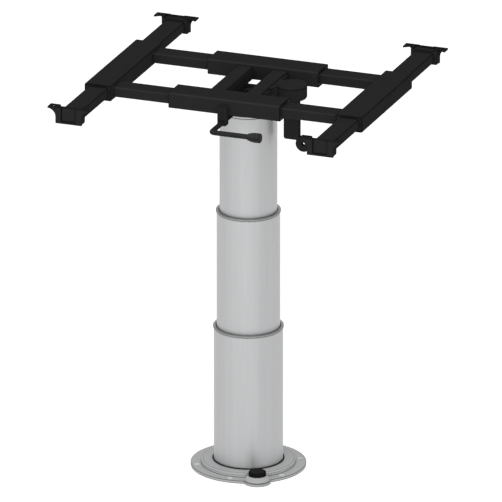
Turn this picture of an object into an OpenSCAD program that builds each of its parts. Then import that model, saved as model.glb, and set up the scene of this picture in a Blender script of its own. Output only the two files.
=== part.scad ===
// Telescoping pedestal for a table: a round three-stage column on a floor flange, carrying a turning
// head with a frame that slides sideways and lengthwise under the table top.
// Millimetres, +Z up, origin on the floor at the centre of the base.

/* [Floor base] */
// Diameter of the floor flange
flange_d = 200; // [196:1:240]
// Thickness of the flange rim
flange_t = 5; // [5:0.5:8]
// Width of the rim outside the raised boss
rim_w = 18; // [17:0.5:20]
// Height of the boss above the rim
boss_rise = 7; // [5:0.5:12]
// Width of the chamfer round the boss
boss_chamfer = 3; // [1:0.5:4]
// Distance from the flange edge to the screw centres
bolt_inset = 9; // [8:0.5:10]
// Bore for a floor screw
bolt_hole_d = 6.5; // [5:0.5:7]
// Diameter of the countersink for a floor screw
bolt_sink_d = 11.5; // [10:0.5:12.5]

/* [Foot button] */
// Diameter of the lug that carries the button
lug_d = 47; // [44:1:52]
// Diameter of the black button
button_d = 30; // [24:1:32]
// Height of the button above its housing
button_show = 7.5; // [6:0.5:10]
// Stroke of the button
button_stroke = 4; // [3:0.5:4]
// Number of grip flutes round the button
button_flutes = 24; // [16:1:30]

/* [Column] */
// Outside diameter of the lower tube
lower_tube_d = 120; // [112:1:130]
// How much smaller in diameter each next stage is
stage_step = 10; // [9.5:0.5:11]
// Wall of the three tubes
tube_wall = 3; // [2.5:0.25:3.5]
// Length of the lower tube
lower_tube_len = 248; // [200:1:300]
// Length of the middle tube
middle_tube_len = 248; // [200:1:300]
// Length of the upper tube
upper_tube_len = 221; // [200:1:260]
// Length of each stage left inside the next one at full height
stage_overlap = 36; // [34:1:60]
// Height of the collar on top of a tube
collar_lip = 4; // [3:0.5:6]

/* [Gas springs] */
// Diameter of the gas spring rods
gas_rod_d = 10; // [8:1:10]
// Outside diameter of the gas cylinders
gas_cylinder_d = 28; // [22:1:30]
// Wall of the gas cylinders
gas_wall = 2; // [1.5:0.25:2.5]
// Distance of each gas spring from the column axis
gas_offset = 20; // [18:0.5:22]

/* [Head] */
// Diameter of the turning hub
hub_d = 112; // [108:1:116]
// Height of the turning hub
hub_h = 23.3; // [22:0.1:30]
// Diameter of the swivel post
post_d = 20; // [16:1:20]

/* [Sliding frame] */
// Width of the outer box tubes
rail_w = 50; // [48:1:54]
// Height of the outer box tubes
rail_h = 28.5; // [27:0.5:32]
// Wall of the outer box tubes
rail_wall = 2.5; // [2:0.25:3]
// Length of the two middle rails
rail_len = 204; // [190:1:220]
// Distance between the centre lines of the front and rear rails
rail_spacing = 189; // [180:1:200]
// Width of the inner box tubes
inner_w = 36; // [34:0.5:38]
// Height of the inner box tubes
inner_h = 18.5; // [17:0.5:20]
// Wall of the inner box tubes
inner_wall = 2; // [1.5:0.25:2.5]
// Length of the two end beams
beam_len = 244; // [236:1:260]
// Distance between the centre lines of the end beams
beam_spacing = 461; // [455:1:520]
// Width of the two cross beams
cross_w = 30; // [28:1:34]
// Height of the two cross beams
cross_h = 24; // [22:1:26]
// Gap between the two cross beams
cross_gap = 35; // [34:1:37]

/* [Corner brackets] */
// Distance over the outer faces of the front and rear brackets
bracket_reach = 528; // [500:1:560]
// Width of a bracket below its ears
bracket_w = 48; // [46:1:52]
// Height of a bracket
bracket_h = 29; // [28:0.5:32]
// Width over the two ears of a bracket
ear_span = 77; // [74:1:84]
// Thickness of the ears
ear_t = 3; // [2.5:0.5:4]
// Depth of the ears
ear_depth = 17; // [15:0.5:22]
// How far the ears stand above the rails
table_rise = 2; // [1.5:0.5:4]
// Hole for a table top screw in an ear
ear_hole_d = 5.5; // [4:0.5:6]

/* [Brake] */
// Diameter of the brake drum
drum_d = 52; // [46:1:54]
// Distance from the cross beam to the drum axis
drum_offset = 33; // [32:0.5:33]
// Width of the lever bar
lever_w = 28.5; // [24:0.5:30]
// Thickness of the lever bar
lever_t = 8; // [8:0.5:12]
// Length of the lever bar
lever_len = 60; // [50:1:70]

/* [Release handle] */
// Diameter of the handle rod
handle_rod_d = 9; // [8:0.5:10]
// Distance from the front rail to the arm of the handle
handle_out = 61.5; // [50:0.5:70]
// Reach of the handle to the side
handle_reach = 91.5; // [80:0.5:110]
// Diameter of the handle knob
knob_d = 17; // [15:1:20]

/* [Hidden] */
$fn = 64;

// Gap between faces that slide or turn on each other
run_gap = 0.2;
// Gap round a piece in its seat, and round a shaft in its bore
fit_gap = 0.1;
// How far a cut runs past the face that it opens
cut = 1;

// Radii of the three stages
lower_r = lower_tube_d / 2;
middle_r = lower_r - stage_step / 2;
upper_r = middle_r - stage_step / 2;
lower_bore_r = lower_r - tube_wall;
middle_bore_r = middle_r - tube_wall;
upper_bore_r = upper_r - tube_wall;

// Head pieces that set the height of the frame
head_flange_t = 4;
head_plug_h = 10;
swivel_washer_t = 2;

// Levels from the floor up
boss_top_z = flange_t + boss_rise;
lower_top_z = flange_t + lower_tube_len;
middle_foot_z = lower_top_z - stage_overlap;
middle_top_z = middle_foot_z + middle_tube_len;
upper_foot_z = middle_top_z - stage_overlap;
upper_top_z = upper_foot_z + upper_tube_len;
head_top_z = upper_top_z + head_flange_t;
hub_foot_z = head_top_z + swivel_washer_t + run_gap;
frame_z = hub_foot_z + hub_h;
rail_axis_z = frame_z + rail_h / 2;
table_z = frame_z + rail_h + table_rise;

// Floor screws
bolt_count = 6;
bolt_start = 30;

// Foot ring and its screws that hold the lower tube on the base
foot_ring_t = 4;
foot_ring_w = 11;
foot_screw_count = 4;
foot_screw_d = 5;
foot_screw_head_d = 9.5;
foot_screw_circle_r = lower_bore_r - foot_ring_w / 2;
seal_t = 1.8;
seal_w = 2.4;

// Foot button: a lug on the base with a tapered housing and a cup for the button
button_angle = -60;
lug_inset = 5.2;
button_axis_r = flange_d / 2 - lug_inset;
housing_h = 9;
housing_lip = 1.5;
housing_foot_d = lug_d - 2 * housing_lip;
housing_wall = 1.5;
cup_floor_t = 2;
button_gap = 0.3;
cup_d = button_d + 2 * button_gap;
housing_top_d = cup_d + 2 * housing_wall;
housing_top_z = flange_t + housing_h;
button_top_z = housing_top_z + button_show;
button_foot_z = cup_floor_t + button_stroke + button_gap;
button_edge = 1.5;
flute_d = 2.6;
stem_d = 6;
stem_top_wall = 3;
spring_d = 16;
spring_wire = 1.4;
spring_well_d = spring_d + 2 * spring_wire;
spring_well_top_wall = 5;
spring_turns = 4;
spring_sides = 8;
spring_steps = 16;
spring_h = button_top_z - spring_well_top_wall - cup_floor_t - run_gap;

// Column guides
bush_h = 22;
bush_gap = 0.25;
stop_gap = 0.4;
glide_h = stage_overlap - bush_h - stop_gap;
collar_out = 1.2;
collar_gap = 1.2;
floor_plate_t = 6;

// Gas springs
gas_r = gas_cylinder_d / 2;
gas_bore_r = gas_r - gas_wall;
gas_cap_t = 3;
gas_top_room = 20;
gas_foot_z = middle_foot_z + floor_plate_t;
gas_top_z = middle_top_z - gas_top_room;
piston_h = 5;
piston_gap = 1;
rod_seat = 4;
rod_nut_h = 4;
rod_nut_d = 19;
rod_head_seat = 8;

// Turning head
hub_bevel_w = 10;
hub_bevel_h = 3.5;
washer_edge = 2;
spigot_d = 16;
stud_d = 12;
stud_h = 8;
nut_flange_d = 27;
nut_flange_t = 1.5;
nut_d = 21;
nut_h = 5;
box_wall = 2.5;
box_h = 9;
box_len = 54;
frame_bolt_d = 6;
frame_bolt_head_d = 10;
frame_bolt_head_h = 5;
frame_bolt_sink = 2;
frame_bolt_tip = 2;
frame_bolt_y = 24;
cross_x = (cross_gap + cross_w) / 2;
cross_len = rail_spacing - rail_w;
cross_wall = 2.5;
cross_corner = 4;

// Box tubes
rail_corner = 3.5;
inner_corner = 3;
glide_len = 14;
inner_len = beam_spacing - rail_w;

// Corner brackets
bracket_plate_t = 4;
slide_len = bracket_reach - 2 * bracket_plate_t;
bracket_corner = 3;
body_corner = 4;
ear_lap = 4;
recess_left = 13.5;
recess_right = 12.5;
recess_t = 2;
ledge_h = 4;
tongue_len = 15;
tongue_gap = 0.2;
bracket_foot_z = table_z - bracket_h;
ear_w = (ear_span - bracket_w) / 2;
ear_hole_x = (ear_span + bracket_w) / 4;
ear_hole_y = bracket_reach / 2 - ear_depth / 2;
bracket_screw_d = 4;
bracket_screw_head_d = 8;
bracket_screw_head_h = 2.5;
bracket_screw_len = 9;
bracket_screw_y = slide_len / 2 - tongue_len / 2;

// Brake housing on the right cross beam
cross_face_x = cross_x + cross_w / 2;
drum_x = cross_face_x + drum_offset;
drum_r = drum_d / 2;
drum_foot_z = frame_z + 2;
drum_top_z = table_z - table_rise;
drum_round = 5;
drum_cap_h = 4;
drum_cap_round = 2.8;
flange_plate_t = 5.5;
flange_plate_len = 104;
flange_plate_h = 20;
lobe_d = 15;
lobe_t = 8.5;
lobe_y = 45;
lock_screw_d = 5;
lock_screw_head_d = 9;
lock_screw_head_h = 3;
lock_screw_len = 14;
arm_h = 18;
arm_root_w = 56;
arm_neck_w = 34;
spindle_d = 20;
spindle_room = 6;
neck_d = 28.4;
neck_h = 14;
lever_corner = 4;
lever_top_z = drum_foot_z - run_gap - neck_h;
eye_r = 14;
eye_hole_d = 6;
eye_t = 8;
eye_out = 7.5;
eye_drop = 6;

// Release handle
handle_drop = 11;
handle_z = frame_z - handle_drop;
handle_bend_r = 6;
rail_face_y = rail_spacing / 2 + rail_w / 2;
handle_y = -(rail_face_y + handle_out);
handle_bracket_w = 17;
handle_bracket_t = 9.5;
handle_bracket_h = 35;
handle_bracket_foot = 5.5;
handle_bracket_corner = 3;
handle_boss_d = 11;
handle_boss_t = 2.5;
handle_screw_d = 4;
handle_screw_head_d = 8;
handle_screw_z = [4.5, 13.5];
handle_shaft_gap = 0.5;
knob_len = 24.5;
knob_flare = 12;
knob_edge = 1.5;
knob_wall = 2;
knob_seat = 16;

silver = "#b9bbbd";
cast_grey = "#a9abad";
frame_black = "#26282a";
plastic_black = "#17181a";
steel = "#c9cacc";
zinc = "#8f9296";

// Shapes that several pieces share

// Flat rectangle with round corners
module round_rect(w, h, r) {
    square([w - 2 * r, h], center = true);
    square([w, h - 2 * r], center = true);
    for (sx = [-1, 1]) for (sy = [-1, 1])
        translate([sx * (w / 2 - r), sy * (h / 2 - r)]) circle(r);
}

// Round tube or ring standing on z
module ring(r_out, r_in, z, h) {
    translate([0, 0, z]) difference() {
        cylinder(h = h, r = r_out);
        translate([0, 0, -cut]) cylinder(h = h + 2 * cut, r = r_in);
    }
}

// Turns an upright extrusion so that it runs along X, or along Y
module along_x() rotate([90, 0, 90]) children();
module along_y() rotate([90, 0, 0]) children();

// Box tube with round corners, upright and centred
module box_tube(len, w, h, wall, r) {
    difference() {
        linear_extrude(height = len, center = true) round_rect(w, h, r);
        linear_extrude(height = len + 2 * cut, center = true)
            round_rect(w - 2 * wall, h - 2 * wall, r - wall > fit_gap ? r - wall : fit_gap);
    }
}

// Outer box tube of the rails and beams
module outer_tube(len) box_tube(len, rail_w, rail_h, rail_wall, rail_corner);

// Inner box tube of the inner rails and slides
module inner_tube(len) box_tube(len, inner_w, inner_h, inner_wall, inner_corner);

// Plastic sleeve between an outer and an inner box tube
module tube_glide() {
    difference() {
        linear_extrude(height = glide_len, center = true)
            round_rect(rail_w - 2 * rail_wall - 2 * fit_gap, rail_h - 2 * rail_wall - 2 * fit_gap,
                rail_corner - rail_wall);
        linear_extrude(height = glide_len + 2 * cut, center = true)
            round_rect(inner_w + 2 * run_gap, inner_h + 2 * run_gap, inner_corner + run_gap);
    }
}

// Hexagon nut with its bore
module hex_nut(d, h, bore_d) {
    difference() {
        cylinder(h = h, d = d, $fn = 6);
        translate([0, 0, -cut]) cylinder(h = h + 2 * cut, d = bore_d);
    }
}

// Screw with a flat countersunk head at z = 0, pointing up
module sunk_screw(d, head_d, len) {
    cylinder(h = (head_d - d) / 2, d1 = head_d, d2 = d);
    cylinder(h = len, d = d);
}

// Hole through a plate of thickness t, with its countersink at the top
module sunk_hole(d, head_d, t) {
    rotate_extrude() polygon([
        [0, -cut], [d / 2, -cut], [d / 2, t - (head_d - d) / 2], [head_d / 2, t],
        [head_d / 2, t + cut], [0, t + cut]
    ]);
}

// Screw with a low round head below z = 0, pointing up
module round_screw(d, head_d, head_h, len) {
    translate([0, 0, -head_h]) cylinder(h = head_h, d = head_d);
    cylinder(h = len, d = d);
}

// Place of each floor screw
module at_bolts() {
    for (i = [0 : bolt_count - 1])
        rotate([0, 0, bolt_start + i * 360 / bolt_count])
            translate([flange_d / 2 - bolt_inset, 0, 0]) children();
}

// Place of each screw under the lower tube
module at_foot_screws() {
    for (i = [0 : foot_screw_count - 1])
        rotate([0, 0, i * 360 / foot_screw_count])
            translate([foot_screw_circle_r, 0, 0]) children();
}

module at_button() rotate([0, 0, button_angle]) translate([button_axis_r, 0, 0]) children();

// Base

module base_plate() {
    boss_r = flange_d / 2 - rim_w;
    color(cast_grey) difference() {
        union() {
            linear_extrude(height = flange_t) {
                circle(d = flange_d);
                at_button() circle(d = lug_d);
            }
            difference() {
                rotate_extrude() polygon([
                    [lower_r + fit_gap, flange_t], [boss_r, flange_t],
                    [boss_r, boss_top_z - boss_chamfer], [boss_r - boss_chamfer, boss_top_z],
                    [lower_r + fit_gap, boss_top_z]
                ]);
                at_button() translate([0, 0, flange_t - cut])
                    cylinder(h = boss_rise + 2 * cut, d = housing_foot_d + 2 * fit_gap);
            }
        }
        at_bolts() sunk_hole(bolt_hole_d, bolt_sink_d, flange_t);
        at_foot_screws() translate([0, 0, flange_t]) mirror([0, 0, 1])
            sunk_hole(foot_screw_d + 2 * fit_gap, foot_screw_head_d + 2 * fit_gap, flange_t);
        translate([-gas_offset, 0, flange_t - rod_seat])
            cylinder(h = rod_seat + cut, d = gas_rod_d + 2 * fit_gap);
        at_button() translate([0, 0, cup_floor_t]) cylinder(h = flange_t, d = cup_d);
    }
}

module button_housing() {
    color(cast_grey) at_button() difference() {
        translate([0, 0, flange_t])
            cylinder(h = housing_h, d1 = housing_foot_d, d2 = housing_top_d);
        translate([0, 0, flange_t - cut]) cylinder(h = housing_h + 2 * cut, d = cup_d);
    }
}

module base_seal_ring() {
    color(plastic_black)
        ring(lower_r + fit_gap + seal_w, lower_r + fit_gap, boss_top_z, seal_t);
}

module lower_tube() {
    color(silver) ring(lower_r, lower_bore_r, flange_t, lower_tube_len);
}

module tube_foot_ring() {
    color(zinc) difference() {
        ring(lower_bore_r - fit_gap, lower_bore_r - foot_ring_w, flange_t, foot_ring_t);
        at_foot_screws() cylinder(h = flange_t + foot_ring_t + cut, d = foot_screw_d + 2 * fit_gap);
    }
}

module column_screws() {
    color(steel) at_foot_screws()
        sunk_screw(foot_screw_d, foot_screw_head_d, flange_t + foot_ring_t);
}

// Ring on top of a tube, open round the stage above it
module stage_collar(tube_r, stage_r, z) {
    ring(tube_r + collar_out, stage_r + collar_gap, z, collar_lip);
}

// Plastic bush in the top of a tube
module guide_bush(bore_r, stage_r, top_z) {
    ring(bore_r - fit_gap, stage_r + bush_gap, top_z - bush_h, bush_h);
}

// Plastic glide round the foot of a stage
module foot_glide(stage_r, bore_r, z) {
    ring(bore_r - run_gap, stage_r + fit_gap, z, glide_h);
}

module lower_collar() {
    color(silver) stage_collar(lower_r, middle_r, lower_top_z);
}

module lower_guide_bush() {
    color(plastic_black) guide_bush(lower_bore_r, middle_r, lower_top_z);
}

module lower_gas_rod() {
    color(steel) translate([-gas_offset, 0, flange_t - rod_seat]) {
        cylinder(h = gas_foot_z + gas_cap_t + piston_gap + piston_h - flange_t + rod_seat,
            d = gas_rod_d);
        translate([0, 0, gas_foot_z + gas_cap_t + piston_gap - flange_t + rod_seat])
            cylinder(h = piston_h, r = gas_bore_r - run_gap);
    }
}

module lower_rod_nut() {
    color(zinc) translate([-gas_offset, 0, flange_t])
        hex_nut(rod_nut_d, rod_nut_h, gas_rod_d + 2 * fit_gap);
}

// Foot button

module button_spring() {
    pitch = (spring_h - spring_wire) / spring_turns;
    steps = spring_turns * spring_steps;
    coil_r = spring_d / 2;
    wire_r = spring_wire / 2;
    points = [
        for (i = [0 : steps]) for (j = [0 : spring_sides - 1])
            let (turn = 360 * i / spring_steps, around = 360 * j / spring_sides)
                [
                    (coil_r + wire_r * cos(around)) * cos(turn),
                    (coil_r + wire_r * cos(around)) * sin(turn),
                    wire_r + pitch * i / spring_steps + wire_r * sin(around)
                ]
    ];
    faces = concat(
        [[for (j = [0 : spring_sides - 1]) j]],
        [
            for (i = [0 : steps - 1]) for (j = [0 : spring_sides - 1])
                let (a = i * spring_sides + j, b = i * spring_sides + (j + 1) % spring_sides)
                    [a, a + spring_sides, b + spring_sides, b]
        ],
        [[for (j = [spring_sides - 1 : -1 : 0]) steps * spring_sides + j]]
    );
    color(steel) at_button() translate([0, 0, cup_floor_t])
        polyhedron(points = points, faces = faces, convexity = spring_turns * 2);
}

module foot_button() {
    color(plastic_black) at_button() difference() {
        union() {
            translate([0, 0, button_foot_z])
                cylinder(h = button_top_z - button_edge - button_foot_z, d = button_d);
            translate([0, 0, button_top_z - button_edge])
                cylinder(h = button_edge, d1 = button_d, d2 = button_d - 2 * button_edge);
        }
        for (i = [0 : button_flutes - 1])
            rotate([0, 0, i * 360 / button_flutes]) translate([button_d / 2, 0, housing_top_z + button_gap])
                cylinder(h = button_show, d = flute_d, $fn = 16);
        translate([0, 0, button_foot_z - cut])
            cylinder(h = button_top_z - spring_well_top_wall - button_foot_z + cut, d = spring_well_d);
        translate([0, 0, button_foot_z - cut])
            cylinder(h = button_top_z - stem_top_wall - button_foot_z + cut, d = stem_d + 2 * fit_gap);
    }
}

module button_stem() {
    color(steel) at_button() translate([0, 0, button_foot_z])
        cylinder(h = button_top_z - stem_top_wall - button_foot_z, d = stem_d);
}

// Middle stage

module middle_tube() {
    color(silver) ring(middle_r, middle_bore_r, middle_foot_z, middle_tube_len);
}

module middle_collar() {
    color(silver) stage_collar(middle_r, upper_r, middle_top_z);
}

module middle_guide_bush() {
    color(plastic_black) guide_bush(middle_bore_r, upper_r, middle_top_z);
}

module middle_foot_glide() {
    color(plastic_black) foot_glide(middle_r, lower_bore_r, middle_foot_z);
}

module middle_floor_plate() {
    color(zinc) difference() {
        translate([0, 0, middle_foot_z]) cylinder(h = floor_plate_t, r = middle_bore_r - fit_gap);
        translate([-gas_offset, 0, middle_foot_z - cut])
            cylinder(h = floor_plate_t + 2 * cut, d = gas_rod_d + 2 * run_gap);
    }
}

// Gas cylinder with a rod hole in the cap at one end
module gas_cylinder(rod_end_z) {
    difference() {
        translate([0, 0, gas_foot_z]) cylinder(h = gas_top_z - gas_foot_z, r = gas_r);
        translate([0, 0, gas_foot_z + gas_cap_t])
            cylinder(h = gas_top_z - gas_foot_z - 2 * gas_cap_t, r = gas_bore_r);
        translate([0, 0, rod_end_z - gas_cap_t - cut])
            cylinder(h = 2 * gas_cap_t + 2 * cut, d = gas_rod_d + 2 * run_gap);
    }
}

module lower_gas_cylinder() {
    color(zinc) translate([-gas_offset, 0, 0]) gas_cylinder(gas_foot_z);
}

module upper_gas_cylinder() {
    color(zinc) translate([gas_offset, 0, 0]) gas_cylinder(gas_top_z);
}

// Upper stage

module upper_tube() {
    color(silver) ring(upper_r, upper_bore_r, upper_foot_z, upper_tube_len);
}

module upper_foot_glide() {
    color(plastic_black) foot_glide(upper_r, middle_bore_r, upper_foot_z);
}

module head_plate() {
    color(zinc) difference() {
        union() {
            translate([0, 0, upper_top_z]) cylinder(h = head_flange_t, r = upper_r);
            translate([0, 0, upper_top_z - head_plug_h])
                cylinder(h = head_plug_h + fit_gap, r = upper_bore_r - fit_gap);
        }
        translate([0, 0, upper_top_z - head_plug_h - cut])
            cylinder(h = head_plug_h + head_flange_t + 2 * cut, d = spigot_d + 2 * fit_gap);
        translate([gas_offset, 0, upper_top_z - head_plug_h - cut])
            cylinder(h = rod_head_seat + cut, d = gas_rod_d + 2 * fit_gap);
    }
}

module swivel_post() {
    color(steel) {
        translate([0, 0, upper_top_z - head_plug_h])
            cylinder(h = head_plug_h + head_flange_t, d = spigot_d);
        translate([0, 0, head_top_z]) cylinder(h = frame_z + run_gap - head_top_z, d = post_d);
        translate([0, 0, frame_z + run_gap]) cylinder(h = stud_h, d = stud_d);
    }
}

module swivel_washer() {
    color(plastic_black)
        ring(upper_r - washer_edge, post_d / 2 + fit_gap, head_top_z, swivel_washer_t);
}

module swivel_nut() {
    color(zinc) translate([0, 0, frame_z + run_gap]) {
        ring(nut_flange_d / 2, stud_d / 2 + fit_gap, 0, nut_flange_t);
        translate([0, 0, nut_flange_t]) hex_nut(nut_d, nut_h, stud_d + 2 * fit_gap);
    }
}

module upper_gas_rod() {
    color(steel) translate([gas_offset, 0, 0]) {
        translate([0, 0, gas_top_z - gas_cap_t - piston_gap - piston_h])
            cylinder(h = piston_h, r = gas_bore_r - run_gap);
        translate([0, 0, gas_top_z - gas_cap_t - piston_gap - piston_h])
            cylinder(h = upper_top_z - head_plug_h + rod_head_seat
                - gas_top_z + gas_cap_t + piston_gap + piston_h, d = gas_rod_d);
    }
}

module upper_rod_nut() {
    color(zinc) translate([gas_offset, 0, upper_top_z - head_plug_h - rod_nut_h])
        hex_nut(rod_nut_d, rod_nut_h, gas_rod_d + 2 * fit_gap);
}

// Turning head and the middle of the frame

// Place of each bolt between the hub and the cross beams
module at_frame_bolts() {
    for (sx = [-1, 1]) for (sy = [-1, 1])
        translate([sx * cross_x, sy * frame_bolt_y, 0]) children();
}

module head_hub() {
    color(frame_black) difference() {
        union() {
            translate([0, 0, hub_foot_z]) cylinder(h = hub_h - hub_bevel_h, d = hub_d);
            translate([0, 0, frame_z - hub_bevel_h])
                cylinder(h = hub_bevel_h, d1 = hub_d, d2 = hub_d - 2 * hub_bevel_w);
        }
        translate([0, 0, hub_foot_z - cut]) cylinder(h = hub_h + 2 * cut, d = post_d + 2 * fit_gap);
        translate([0, 0, handle_z]) along_y()
            cylinder(h = hub_d / 2 + cut, d = handle_rod_d + 2 * fit_gap);
        at_frame_bolts() {
            translate([0, 0, hub_foot_z - cut])
                cylinder(h = hub_h + 2 * cut, d = frame_bolt_d + 2 * fit_gap);
            translate([0, 0, hub_foot_z - cut])
                cylinder(h = frame_bolt_sink + frame_bolt_head_h + cut, d = frame_bolt_head_d + 2 * run_gap);
        }
    }
}

module centre_box() {
    color(frame_black) translate([0, 0, frame_z]) difference() {
        translate([-cross_gap / 2, -box_len / 2, 0]) cube([cross_gap, box_len, box_h]);
        translate([box_wall - cross_gap / 2, box_wall - box_len / 2, -cut])
            cube([cross_gap - 2 * box_wall, box_len - 2 * box_wall, box_h + 2 * cut]);
    }
}

// Cross beam between the front and rear rails
module cross_beam(x) {
    difference() {
        translate([x, 0, frame_z + cross_h / 2]) along_y()
            box_tube(cross_len, cross_w, cross_h, cross_wall, cross_corner);
        at_frame_bolts() translate([0, 0, frame_z - cut])
            cylinder(h = cross_wall + 2 * cut, d = frame_bolt_d + 2 * fit_gap);
    }
}

module left_cross_beam() {
    color(frame_black) cross_beam(-cross_x);
}

module right_cross_beam() {
    color(frame_black) difference() {
        cross_beam(cross_x);
        at_lock_screws() translate([0, 0, -cross_wall - cut])
            cylinder(h = cross_wall + 2 * cut, d = lock_screw_d + 2 * fit_gap);
    }
}

module frame_bolts() {
    seat_z = hub_foot_z + frame_bolt_sink + frame_bolt_head_h;
    color(zinc) at_frame_bolts() translate([0, 0, seat_z])
        round_screw(frame_bolt_d, frame_bolt_head_d, frame_bolt_head_h,
            frame_z + cross_wall + frame_bolt_tip - seat_z);
}

module front_rail() {
    color(frame_black) difference() {
        translate([0, -rail_spacing / 2, rail_axis_z]) along_x() outer_tube(rail_len);
        at_handle_screws() translate([0, 0, handle_bracket_t - cut])
            cylinder(h = rail_wall + 2 * cut, d = handle_screw_d + 2 * fit_gap);
    }
}

module rear_rail() {
    color(frame_black) translate([0, rail_spacing / 2, rail_axis_z]) along_x() outer_tube(rail_len);
}

module rail_glides() {
    color(plastic_black) for (sx = [-1, 1]) for (sy = [-1, 1])
        translate([sx * (rail_len / 2 - glide_len / 2), sy * rail_spacing / 2, rail_axis_z])
            along_x() tube_glide();
}

// Brake housing on the right cross beam

// Place of each housing screw, pointing away from the cross beam
module at_lock_screws() {
    for (side = [-1, 1])
        translate([cross_face_x, side * lobe_y, frame_z + cross_h / 2]) rotate([0, 90, 0]) children();
}

// Outline of the arm seen from above: wide at the flange, drawn in by two arcs, then onto the drum
module arm_outline() {
    root_y = arm_root_w / 2;
    neck_y = arm_neck_w / 2;
    arc_r = root_y - neck_y;
    arc_x = cross_face_x + flange_plate_t + arc_r;
    translate([cross_face_x, -neck_y]) square([drum_offset, arm_neck_w]);
    difference() {
        translate([cross_face_x, -root_y]) square([arc_x - cross_face_x, arm_root_w]);
        for (sy = [-1, 1]) translate([arc_x, sy * root_y]) circle(arc_r);
    }
}

module brake_housing() {
    color(frame_black) difference() {
        union() {
            translate([cross_face_x, -flange_plate_len / 2, frame_z + (cross_h - flange_plate_h) / 2])
                cube([flange_plate_t, flange_plate_len, flange_plate_h]);
            at_lock_screws() cylinder(h = lobe_t, d = lobe_d);
            translate([0, 0, drum_top_z - drum_cap_h - arm_h])
                linear_extrude(height = arm_h) arm_outline();
            translate([drum_x, 0, 0]) rotate_extrude() {
                translate([0, drum_foot_z])
                    square([drum_r - drum_round, drum_top_z - drum_cap_h - drum_foot_z]);
                translate([0, drum_foot_z + drum_round])
                    square([drum_r, drum_top_z - drum_cap_h - drum_foot_z - drum_round]);
                intersection() {
                    translate([drum_r - drum_round, drum_foot_z + drum_round]) circle(drum_round);
                    translate([0, drum_foot_z]) square([drum_r, drum_round + fit_gap]);
                }
            }
        }
        translate([drum_x, 0, drum_foot_z - cut])
            cylinder(h = drum_top_z - drum_cap_h - drum_foot_z - spindle_room + cut,
                d = spindle_d + 2 * fit_gap);
        at_lock_screws() translate([0, 0, -cut])
            cylinder(h = lobe_t + 2 * cut, d = lock_screw_d + 2 * fit_gap);
    }
}

module brake_cap() {
    color(frame_black) translate([drum_x, 0, drum_top_z - drum_cap_h]) {
        cylinder(h = drum_cap_h - drum_cap_round, r = drum_r);
        translate([0, 0, drum_cap_h - drum_cap_round]) rotate_extrude() {
            square([drum_r - drum_cap_round, drum_cap_round]);
            intersection() {
                translate([drum_r - drum_cap_round, 0]) circle(drum_cap_round);
                square([drum_r, drum_cap_round]);
            }
        }
    }
}

module brake_housing_screws() {
    color(zinc) at_lock_screws() translate([0, 0, lobe_t]) rotate([180, 0, 0])
        round_screw(lock_screw_d, lock_screw_head_d, lock_screw_head_h, lock_screw_len);
}

module brake_spindle() {
    color(zinc) translate([drum_x, 0, lever_top_z]) {
        cylinder(h = neck_h, d = neck_d);
        cylinder(h = drum_top_z - drum_cap_h - spindle_room - run_gap - lever_top_z, d = spindle_d);
    }
}

module brake_lever() {
    eye_x = lever_w / 2 + eye_out;
    eye_z = -lever_len - eye_drop;
    color(frame_black) translate([drum_x, 0, lever_top_z]) difference() {
        union() {
            along_y() linear_extrude(height = lever_t, center = true) {
                translate([0, -lever_len / 2]) round_rect(lever_w, lever_len, lever_corner);
                translate([0, -lever_len / 4]) square([lever_w, lever_len / 2], center = true);
            }
            along_y() linear_extrude(height = eye_t, center = true) {
                translate([eye_x, eye_z]) circle(eye_r);
                polygon([
                    [0, -lever_len / 2], [lever_w / 2, eye_z + eye_r * 3 / 2],
                    [eye_x + eye_r * sin(45), eye_z + eye_r * cos(45)], [eye_x, eye_z - eye_r],
                    [0, -lever_len + lever_corner]
                ]);
            }
        }
        translate([eye_x, 0, eye_z]) along_y()
            cylinder(h = lever_t + 2 * cut, d = eye_hole_d, center = true);
    }
}

// Release handle on the front rail

// Place of each handle bracket screw, pointing towards the rail
module at_handle_screws() {
    for (z = handle_screw_z)
        translate([0, -rail_face_y - handle_bracket_t, frame_z + z]) rotate([-90, 0, 0]) children();
}

module handle_bracket() {
    color(frame_black) difference() {
        union() {
            translate([0, -rail_face_y, handle_z - handle_bracket_foot + handle_bracket_h / 2]) along_y()
                linear_extrude(height = handle_bracket_t)
                    round_rect(handle_bracket_w, handle_bracket_h, handle_bracket_corner);
            translate([0, -rail_face_y - handle_bracket_t, handle_z]) along_y()
                cylinder(h = handle_boss_t, d = handle_boss_d);
        }
        translate([0, -rail_face_y + cut, handle_z]) along_y()
            cylinder(h = handle_bracket_t + handle_boss_t + 2 * cut, d = handle_rod_d + 2 * fit_gap);
        at_handle_screws() {
            translate([0, 0, -cut])
                cylinder(h = handle_bracket_t + 2 * cut, d = handle_screw_d + 2 * fit_gap);
            cylinder(h = (handle_screw_head_d - handle_screw_d) / 2,
                d1 = handle_screw_head_d + 2 * fit_gap, d2 = handle_screw_d + 2 * fit_gap);
        }
    }
}

module handle_bracket_screws() {
    color(zinc) at_handle_screws()
        sunk_screw(handle_screw_d, handle_screw_head_d, handle_bracket_t + rail_wall + fit_gap);
}

module release_handle_rod() {
    inner_y = -post_d / 2 - handle_shaft_gap;
    color(frame_black) translate([0, 0, handle_z]) {
        translate([0, inner_y, 0]) along_y()
            cylinder(h = inner_y - handle_y - handle_bend_r, d = handle_rod_d);
        translate([handle_bend_r, handle_y + handle_bend_r, 0]) rotate([0, 0, 180])
            rotate_extrude(angle = 90) translate([handle_bend_r, 0]) circle(d = handle_rod_d);
        translate([handle_bend_r, handle_y, 0]) rotate([0, 90, 0])
            cylinder(h = handle_reach - knob_len + knob_seat - handle_bend_r, d = handle_rod_d);
    }
}

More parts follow.
